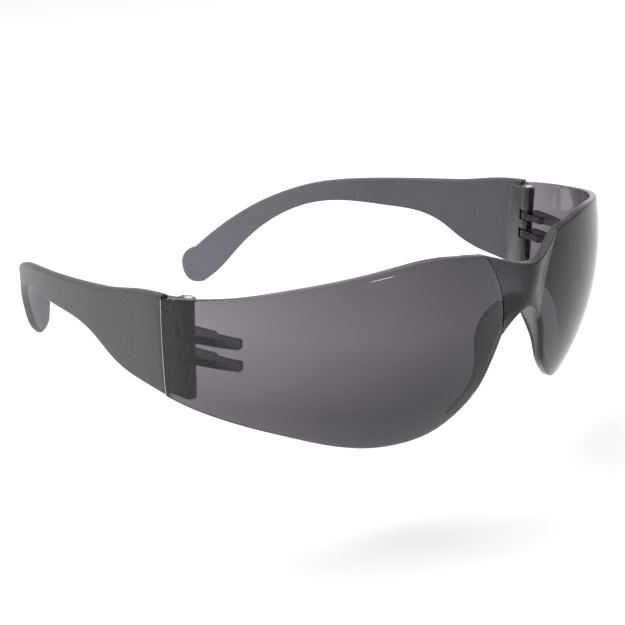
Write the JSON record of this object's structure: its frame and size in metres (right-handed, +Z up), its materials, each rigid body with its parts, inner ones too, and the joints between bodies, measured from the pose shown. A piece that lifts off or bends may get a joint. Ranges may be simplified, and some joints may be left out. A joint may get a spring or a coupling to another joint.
{
  "type": "safety glasses",
  "caption": "Wraparound safety glasses: a rimless smoke-tinted one-piece lens with moulded nose bridge and folding frosted temples on pin hinges.",
  "frame": {"origin": "middle of the footprint, on the surface that the glasses stand on", "axes": "+X to the wearer's left, +Y from the lens back to the temple tips, +Z up in the standing pose"},
  "size_m": [0.137, 0.1768, 0.0469],
  "materials": {
    "smoke_lens": "polished smoke-tinted polycarbonate",
    "frosted_temple": "frosted smoke polycarbonate",
    "pin_steel": "bright steel"
  },
  "bodies": {
    "front": {"lens": "smoke_lens", "hinge_pin_left": "pin_steel", "hinge_pin_right": "pin_steel"},
    "temple_left": {"temple_left": "frosted_temple"},
    "temple_right": {"temple_right": "frosted_temple"}
  },
  "joints": [
    {"name": "temple_left_fold", "type": "hinge", "parent": "front", "child": "temple_left", "pos_m": [0.0635, -0.03473, 0.02736], "axis": [0, -0.1311, 0.9914], "range_deg": [0, 72]},
    {"name": "temple_right_fold", "type": "hinge", "parent": "front", "child": "temple_right", "pos_m": [-0.0635, -0.03473, 0.02736], "axis": [0, 0.1311, -0.9914], "range_deg": [0, 90]}
  ]
}
